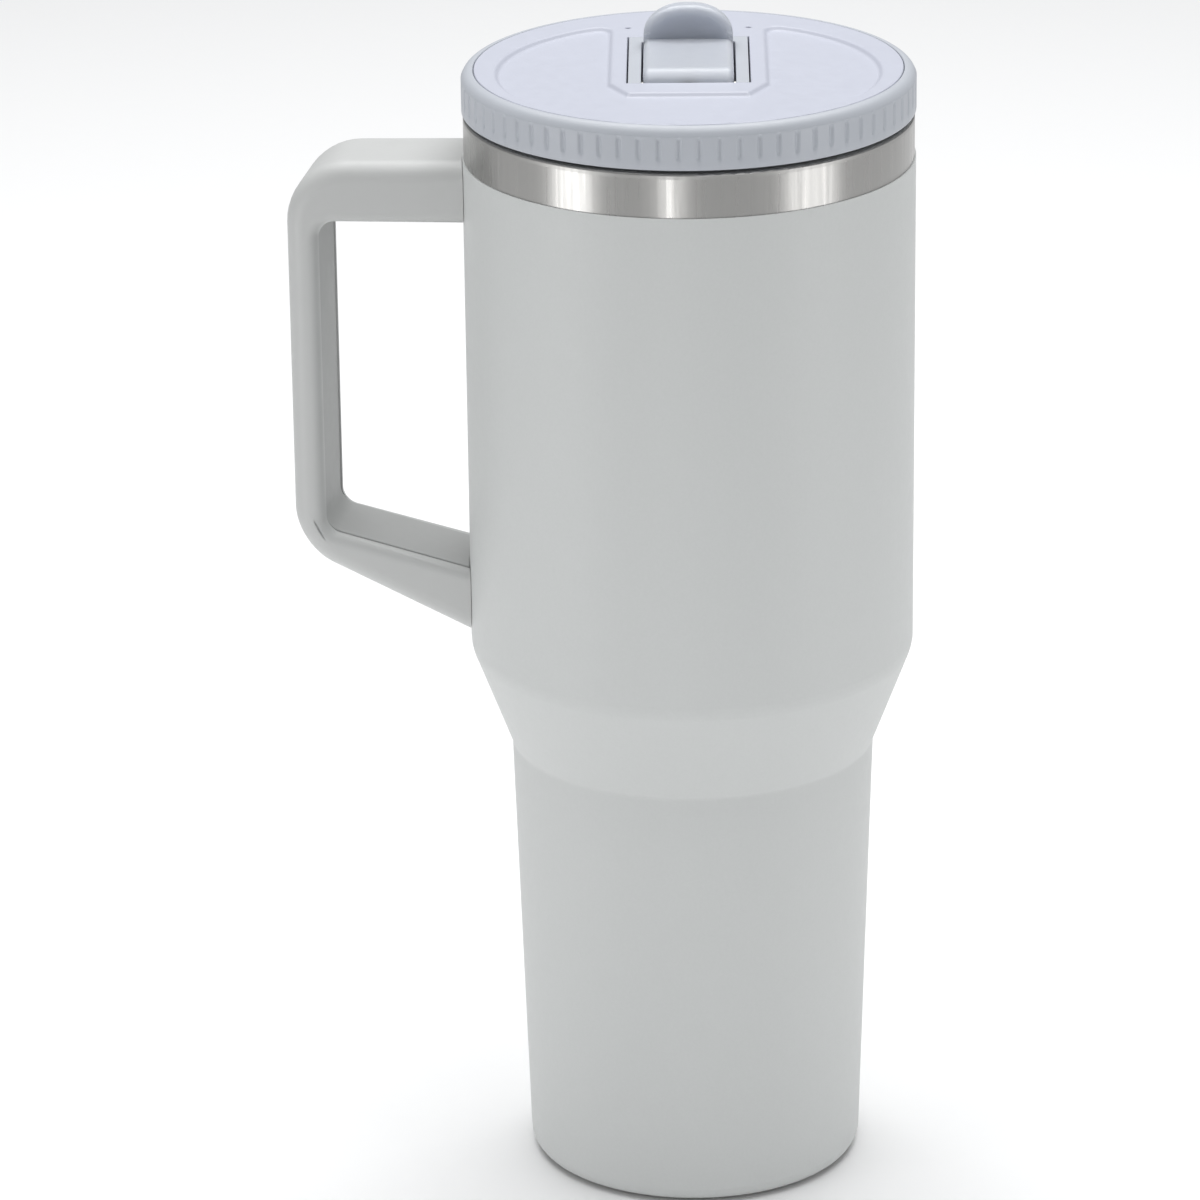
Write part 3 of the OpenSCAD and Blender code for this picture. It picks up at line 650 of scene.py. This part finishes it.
class TUMBLER_OT_handle(bpy.types.Operator):
    """Models the handle with its rounded edges, the groove for its strip and the hole over its screw."""

    bl_idname = "tumbler.handle"
    bl_label = "Handle"

    def execute(self, context):
        sizes = context.scene.tumbler_handle
        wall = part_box("powder_coat")[1].x
        root_top = top_of("handle_frame")
        root_low = bottom_of("handle_frame")
        inside = wall / 2

        def line(height, slope):
            """Height of a long face at a distance from the axis."""
            return lambda x: height + (x - wall) * math.tan(slope)

        arm_top = line(root_top, -sizes.upper_fall)
        arm_under = line(root_top - sizes.upper_height, -sizes.upper_fall)
        arm_ledge = line(root_low + sizes.lower_height, sizes.ledge_rise)
        arm_low = line(root_low, sizes.under_rise)
        grip = sizes.reach - sizes.grip

        def groove(depth, width):
            """The finger opening grown by a depth."""
            high = depth / math.cos(sizes.upper_fall)
            low = depth / math.cos(sizes.ledge_rise)
            return self.block("opening", inside / 2, grip + depth, lambda x: arm_under(x) + high,
                              lambda x: arm_ledge(x) - low, width, sizes.inner_round + depth,
                              (sizes.upper_fall, sizes.ledge_rise))

        handle = self.block("handle_shell", inside, sizes.reach, arm_top, arm_low, sizes.width,
                            sizes.outer_round, (sizes.upper_fall, sizes.under_rise))
        half = sizes.width / 2
        pick(handle, "edges", lambda e: not along(e, 1) and near(abs(middle(e).y), half))
        round_picked(sizes.edge_round, segments=8)
        cut(handle, groove(0, 2 * sizes.width))
        pick(handle, "edges", lambda e: self.is_rim(e, half))
        round_picked(sizes.rim_round, segments=4)
        cut(handle, groove(sizes.strip, sizes.width - 2 * sizes.wall))
        hole = new_cylinder("screw_hole", sizes.screw_hole, -OVER, sizes.screw_deep,
                            (sizes.screw_at, 0), sides=48)
        leave()
        hole.matrix_world = (Matrix.Translation((wall, 0, root_low))
                             @ Matrix.Rotation(-sizes.under_rise, 4, "Y"))
        bpy.ops.object.transform_apply(location=True, rotation=True, scale=True)
        cut(handle, hole)
        cut(handle, new_cylinder("wall", wall + sizes.gap, 0, 2 * root_top, sides=256))
        leave()
        handle.matrix_world = Matrix.Rotation(math.pi - sizes.turn, 4, "Z")
        activate(handle)
        bpy.ops.object.transform_apply(location=True, rotation=True, scale=True)
        shade(handle)
        place(handle, "tumbler", "handle_plastic", finish("handle_plastic"), "handle_frame")
        return {"FINISHED"}

    def is_rim(self, edge, half):
        """Whether an edge lies between the flat side and the finger opening."""
        if len(edge.link_faces) != 2 or not near(abs(middle(edge).y), half):
            return False
        across = sorted(abs(face.normal.y) for face in edge.link_faces)
        return across[0] < UPRIGHT_FACE and across[1] > PARALLEL

    def block(self, name, inside, outside, top, low, width, radius, slopes):
        """A block between two sloping lines in side view, with its two outer corners rounded."""
        block = new_cube(name, (-0.5, -width / 2, -0.5), (0.5, width / 2, 0.5))
        corners = [(-0.5, 0.5, inside, top(inside)), (0.5, 0.5, outside, top(outside)),
                   (0.5, -0.5, outside, low(outside)), (-0.5, -0.5, inside, low(inside))]
        for x0, z0, x1, z1 in corners:
            pick(block, "verts", lambda v: near(v.co.x, x0) and near(v.co.z, z0))
            bpy.ops.transform.translate(value=(x1 - x0, 0, z1 - z0))
        for z, slope in zip((top(outside), low(outside)), slopes):
            pick(block, "edges", lambda e: along(e, 1) and near(middle(e).x, outside)
                 and near(middle(e).z, z))
            round_picked(radius, 12, QUARTER + slope)
        return block


# Distances in millimetres from a flute's end at which its depth is set, and steps from flute to flute
FLUTE_ROWS = (0, 0.2, 0.45, 0.8, 1.2)
FLUTE_STEPS = 20


class TUMBLER_OT_ring(bpy.types.Operator):
    """Models the lid's fluted grip ring."""

    bl_idname = "tumbler.ring"
    bl_label = "Grip ring"

    def execute(self, context):
        sizes = context.scene.tumbler_lid
        low, high = bottom_of("grip_ring"), top_of("grip_ring")
        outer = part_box("grip_ring")[1].x
        inner = outer - sizes.ring_width
        first, last = low + sizes.flute_low, high - sizes.flute_high
        ends = [mm(v) for v in FLUTE_ROWS]
        rows = [first + e for e in ends] + [last - e for e in reversed(ends)]
        lip, ledge = sizes.lip, inner - sizes.ledge_width
        shoulder = sizes.shoulder
        profile = arc((outer - lip, low + lip), lip, -90, 0, parts=4)
        profile += [(outer, z) for z in rows]
        first_angle = math.degrees(math.asin(max(0, (last - high + shoulder) / shoulder)))
        profile += arc((outer - shoulder, high - shoulder), shoulder, first_angle, 90, parts=8)[1:-1]
        profile += arc((inner + lip, high - lip), lip, 90, 180, parts=4)
        profile += [(inner, low + sizes.ledge_height), (ledge, low + sizes.ledge_height), (ledge, low)]
        ring = lathe("fluted_ring", profile, sizes.flutes * FLUTE_STEPS)
        self.press_flutes(ring, sizes, outer, rows, ease=ends[-1])
        shade(ring, degrees=50)
        place(ring, "lid", "lid_plastic", finish("ring_plastic"), "grip_ring")
        return {"FINISHED"}

    def press_flutes(self, ring, sizes, outer, rows, ease):
        """Presses the flutes into the ring's outer wall, one depth at a time."""
        pitch = TURN / sizes.flutes
        step = pitch / FLUTE_STEPS
        reach = int(sizes.flute_half / (outer * step))

        def steps_off(vertex):
            """Number of steps from the middle of the nearest flute."""
            turned = (math.atan2(vertex.co.y, vertex.co.x) / pitch) % 1 - 0.5
            return round(abs(turned) * FLUTE_STEPS)

        for row in rows:
            from_end = min(row - rows[0], rows[-1] - row)
            fade = math.sin(QUARTER * min(1, from_end / ease))
            for steps in range(reach + 1):
                depth = sizes.flute_depth * fade * math.cos(QUARTER * steps / (reach + 1))
                if near(depth, 0, mm(0.01)):
                    continue
                pick(ring, "verts", lambda v: near(v.co.z, row) and steps_off(v) == steps
                     and near(v.co.xy.length, outer))
                shrink = 1 - depth / outer
                bpy.ops.transform.resize(value=(shrink, shrink, 1), center_override=(0, 0, 0))
        leave()


class TUMBLER_OT_plate(bpy.types.Operator):
    """Models the lid's top plate with its recess, its pocket for the spout and its two vents."""

    bl_idname = "tumbler.plate"
    bl_label = "Top plate"

    def execute(self, context):
        sizes = context.scene.tumbler_lid
        low, high = bottom_of("top_plate"), top_of("top_plate")
        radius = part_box("top_plate")[1].x
        floor = high - sizes.recess_depth
        plate = new_cylinder("top_plate_shell", radius, low, high)
        cut(plate, self.recess(sizes, floor, high))
        frame_low, frame_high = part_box("hinge_frame")
        gap = sizes.seam
        pocket = new_cube("pocket", (frame_low.x - gap, frame_low.y, low - OVER),
                          (frame_high.x + gap, frame_high.y + gap, high + OVER))
        cut(plate, pocket)
        vent_low, vent_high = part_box("vent_valves")
        rim = (vent_high.y - vent_low.y) / 2
        for side in (-1, 1):
            vent = new_cylinder("vent", sizes.vent, low - OVER, high + OVER,
                                (side * (vent_high.x - rim), vent_high.y - rim), sides=24)
            cut(plate, vent)
        self.slope_wall(plate, sizes, floor, high)
        pick(plate, "edges", lambda e: self.is_edge(e) and near(middle(e).z, high))
        bpy.ops.mesh.bevel(offset_type="OFFSET", offset=sizes.edge, segments=3, affect="EDGES")
        # The bevel lifts two points where the cut's edges run into the rim; they go back to the top
        pick(plate, "verts", lambda v: v.co.z > high + mm(0.01))
        bpy.ops.transform.resize(value=(1, 1, 0), center_override=(0, 0, high))
        shade(plate)
        place(plate, "lid", "lid_plastic", finish("lid_plastic"), "top_plate")
        return {"FINISHED"}

    def slope_wall(self, plate, sizes, floor, high):
        """Makes the recess's upright wall a slope with soft edges."""
        pick(plate, "faces", lambda f: f.normal.z > 0.9 and near(f.calc_center_median().z, floor))
        bpy.ops.mesh.inset(thickness=sizes.recess_slope)
        pick(plate, "verts", lambda v: near(v.co.z, floor) and any(along(e, 2) for e in v.link_edges))
        bpy.ops.transform.translate(value=(0, 0, high - floor))
        merge(mm(0.005))
        pick(plate, "edges", lambda e: self.is_fold(e) and middle(e).z > floor - mm(0.1))
        bpy.ops.mesh.bevel(offset_type="OFFSET", offset=sizes.recess_soft, segments=4, affect="EDGES")

    def is_fold(self, edge):
        """Whether two faces meet at an edge at about the slope of the recess's wall."""
        return len(edge.link_faces) == 2 and 25 < math.degrees(edge.calc_face_angle()) < 60

    def is_edge(self, edge):
        """Whether two faces meet at an edge at a right angle."""
        return len(edge.link_faces) == 2 and edge.calc_face_angle() > math.radians(60)

    def recess(self, sizes, floor, high):
        """The volume above the recess's floor: a round shape less the island that the spout stands in."""
        side, front = sizes.island_half, -sizes.island_front
        radius = sizes.recess_radius
        recess = new_cylinder("recess", radius, floor, high + OVER, (0, -sizes.recess_shift))
        island = new_cube("island", (-side, front, floor - OVER), (side, radius, high + 2 * OVER))
        pick(island, "edges", lambda e: along(e, 2) and near(middle(e).y, front))
        bpy.ops.mesh.bevel(offset_type="OFFSET", offset=sizes.island_across, segments=1, affect="EDGES")
        pick(island, "verts", lambda v: near(abs(v.co.x), side) and v.co.y < 0)
        bpy.ops.transform.translate(value=(0, sizes.island_along - sizes.island_across, 0))
        cut(recess, island)
        # The bevel needs one long face on each side of a rear corner, so the wall's short faces beside
        # it are made one
        rear = -sizes.recess_shift + math.sqrt(radius ** 2 - side ** 2)
        corner = QUARTER - math.atan2(side, rear + sizes.recess_shift)
        reach = sizes.recess_corner / math.tan(corner / 2)

        def from_corner(edge):
            return math.hypot(abs(middle(edge).x) - side, middle(edge).y - rear)

        pick(recess, "edges", lambda e: along(e, 2) and mm(0.3) < from_corner(e) < reach + mm(1)
             and abs(middle(e).x) > side + mm(0.05))
        bpy.ops.mesh.dissolve_edges(use_verts=True)
        pick(recess, "edges", lambda e: along(e, 2) and from_corner(e) < mm(0.3))
        round_picked(sizes.recess_corner, 8, corner)
        return recess


class TUMBLER_OT_spout(bpy.types.Operator):
    """Models the flip spout with its hinge barrel, its tab and its drinking channel."""

    bl_idname = "tumbler.spout"
    bl_label = "Spout"

    def execute(self, context):
        sizes = context.scene.tumbler_spout
        low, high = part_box("spout")
        lid_top = top_of("top_plate")
        block = lid_top + sizes.block_top
        hinge = block - sizes.barrel
        under = hinge - sizes.under
        tab_front = high.y - sizes.tab
        spout = new_cube("flip_spout", (low.x, low.y, under), (high.x, high.y, block))
        bpy.ops.mesh.select_all(action="SELECT")
        bpy.ops.mesh.bisect(plane_co=(0, tab_front, 0), plane_no=(0, 1, 0))
        pick(spout, "faces", lambda f: f.normal.z > 0.9 and f.calc_center_median().y > tab_front)
        bpy.ops.mesh.extrude_region_move(TRANSFORM_OT_translate={"value": (0, 0, high.z - block)})
        self.round_across(spout, low.y, block, sizes.barrel, segments=10)
        self.round_across(spout, low.y, under, sizes.under, segments=8)
        self.round_across(spout, tab_front, block, sizes.hollow, segments=6)
        pick(spout, "edges", lambda e: along(e, 1) and near(middle(e).z, high.z))
        round_picked(sizes.tab_round, segments=12)
        leave()
        apply_modifier(spout, "BEVEL", width=sizes.edge, segments=4, limit_method="ANGLE",
                       angle_limit=math.radians(50), use_clamp_overlap=False)
        self.cut_channel(spout, sizes, low, high, hinge)
        self.scoop(spout, sizes, tab_front, high, block)
        shade(spout)
        place(spout, "spout", "spout_plastic", finish("spout_plastic"), "spout")
        return {"FINISHED"}

    def round_across(self, spout, y, z, radius, segments):
        """Rounds the edge that runs across the spout at a place in its side view."""
        pick(spout, "edges", lambda e: along(e, 0) and near(middle(e).y, y) and near(middle(e).z, z))
        round_picked(radius, segments)

    def scoop(self, spout, sizes, tab_front, high, block):
        """Hollows the front of the tab with the side of a large flattened ball, down to the block."""
        wide = high.x - sizes.dish_rim
        tall = high.z - block - sizes.dish_rim
        ball = (wide ** 2 + sizes.dish ** 2) / (2 * sizes.dish)
        leave()
        bpy.ops.object.select_all(action="DESELECT")
        bpy.ops.mesh.primitive_uv_sphere_add(segments=192, ring_count=96, radius=ball,
                                             scale=(1, 1, tall / wide),
                                             location=(0, tab_front - ball + sizes.dish, block))
        scoop = start("scoop")
        bpy.ops.mesh.select_all(action="SELECT")
        bpy.ops.mesh.bisect(plane_co=(0, 0, block + mm(0.05)), plane_no=(0, 0, 1), clear_inner=True,
                            use_fill=True)
        cut(spout, scoop)

    def cut_channel(self, spout, sizes, low, high, hinge):
        """Cuts the drinking channel along the spout, and its wide mouth into the rear end."""
        length_of_cut = high.y - low.y + 2 * OVER
        channel = new_cylinder("channel", sizes.channel, 0, length_of_cut, sides=48)
        leave()
        channel.matrix_world = (Matrix.Translation((0, high.y + OVER, hinge))
                                @ Matrix.Rotation(QUARTER, 4, "X"))
        bpy.ops.object.transform_apply(location=True, rotation=True, scale=True)
        cut(spout, channel)
        # The mouth is a little lower than the channel, so that the two cuts cross and don't just touch
        half = sizes.mouth_half + sizes.channel
        tall = sizes.mouth_high * sizes.channel
        mouth = new_cube("mouth", (-half, high.y - sizes.mouth_depth, hinge - tall),
                         (half, high.y + OVER, hinge + tall))
        pick(mouth, "edges", lambda e: along(e, 1))
        round_picked(sizes.mouth_round * tall, segments=10)
        cut(spout, mouth)


# Each CAD node whose copy is rounded, its piece's name, the rounding in millimetres, its body, its
# material slot and its finish
SMALL_PIECES = (
    ("hinge_frame", "hinge_frame_shell", 0.25, "lid", "lid_plastic", "ring_plastic"),
    ("handle_strip", "handle_inlay", 0.35, "tumbler", "handle_plastic", "inlay_plastic_painted_shade"),
    ("screw_caps", "screw_cap_pair", 0.15, "tumbler", "handle_plastic", "handle_plastic"),
    ("lid_gasket", "gasket_lips", 0.25, "lid_seal", "silicone", "silicone"),
    ("straw", "straw_tube", 0.2, "lid", "straw_plastic", "straw_plastic"),
)


class TUMBLER_OT_small_pieces(bpy.types.Operator):
    """Rounds the edges of the pieces that are only moulded plainly, each as a copy of its CAD node."""

    bl_idname = "tumbler.small_pieces"
    bl_label = "Small pieces"

    def execute(self, context):
        for node, name, width, body, slot, look in SMALL_PIECES:
            piece = softened(node, name, mm(width))
            place(piece, body, slot, finish(look), node)
        return {"FINISHED"}


class TUMBLER_OT_finishes(bpy.types.Operator):
    """Gives each CAD node that is shown as it is the material of its slot."""

    bl_idname = "tumbler.finishes"
    bl_label = "Finishes"

    def execute(self, context):
        for part in frame["record"]["subparts"]:
            node = NODES[part["node"]]
            node.data.materials.clear()
            node.data.materials.append(finish(part["material_slot"]))
        return {"FINISHED"}


class TUMBLER_PT_panel(bpy.types.Panel):
    """Lists the tumbler's pieces and their sizes."""

    bl_label = "Tumbler"
    bl_idname = "TUMBLER_PT_panel"
    bl_space_type = "VIEW_3D"
    bl_region_type = "UI"
    bl_category = "Tumbler"

    def draw(self, context):
        for operator in OPERATORS:
            self.layout.operator(operator.bl_idname)
        for group in GROUPS:
            box = self.layout.box()
            settings = getattr(context.scene, group)
            for name in settings.__annotations__:
                box.prop(settings, name)


GROUPS = {"tumbler_stage": TumblerStage, "tumbler_handle": TumblerHandle, "tumbler_lid": TumblerLid,
          "tumbler_spout": TumblerSpout, "tumbler_finish": TumblerFinish}
OPERATORS = (TUMBLER_OT_stage, TUMBLER_OT_finishes, TUMBLER_OT_handle, TUMBLER_OT_ring, TUMBLER_OT_plate,
             TUMBLER_OT_spout, TUMBLER_OT_small_pieces)
CLASSES = (*GROUPS.values(), *OPERATORS, TUMBLER_PT_panel)


def register():
    """Registers the classes and hangs the settings on the scene."""
    for cls in CLASSES:
        bpy.utils.register_class(cls)
    for name, group in GROUPS.items():
        setattr(bpy.types.Scene, name, bpy.props.PointerProperty(type=group))


def unregister():
    """Undoes register."""
    for name in GROUPS:
        delattr(bpy.types.Scene, name)
    for cls in reversed(CLASSES):
        bpy.utils.unregister_class(cls)


def main():
    """Builds every piece in order."""
    register()
    for operator in OPERATORS:
        family, name = operator.bl_idname.split(".")
        getattr(getattr(bpy.ops, family), name)()


if __name__ == "__main__":
    main()
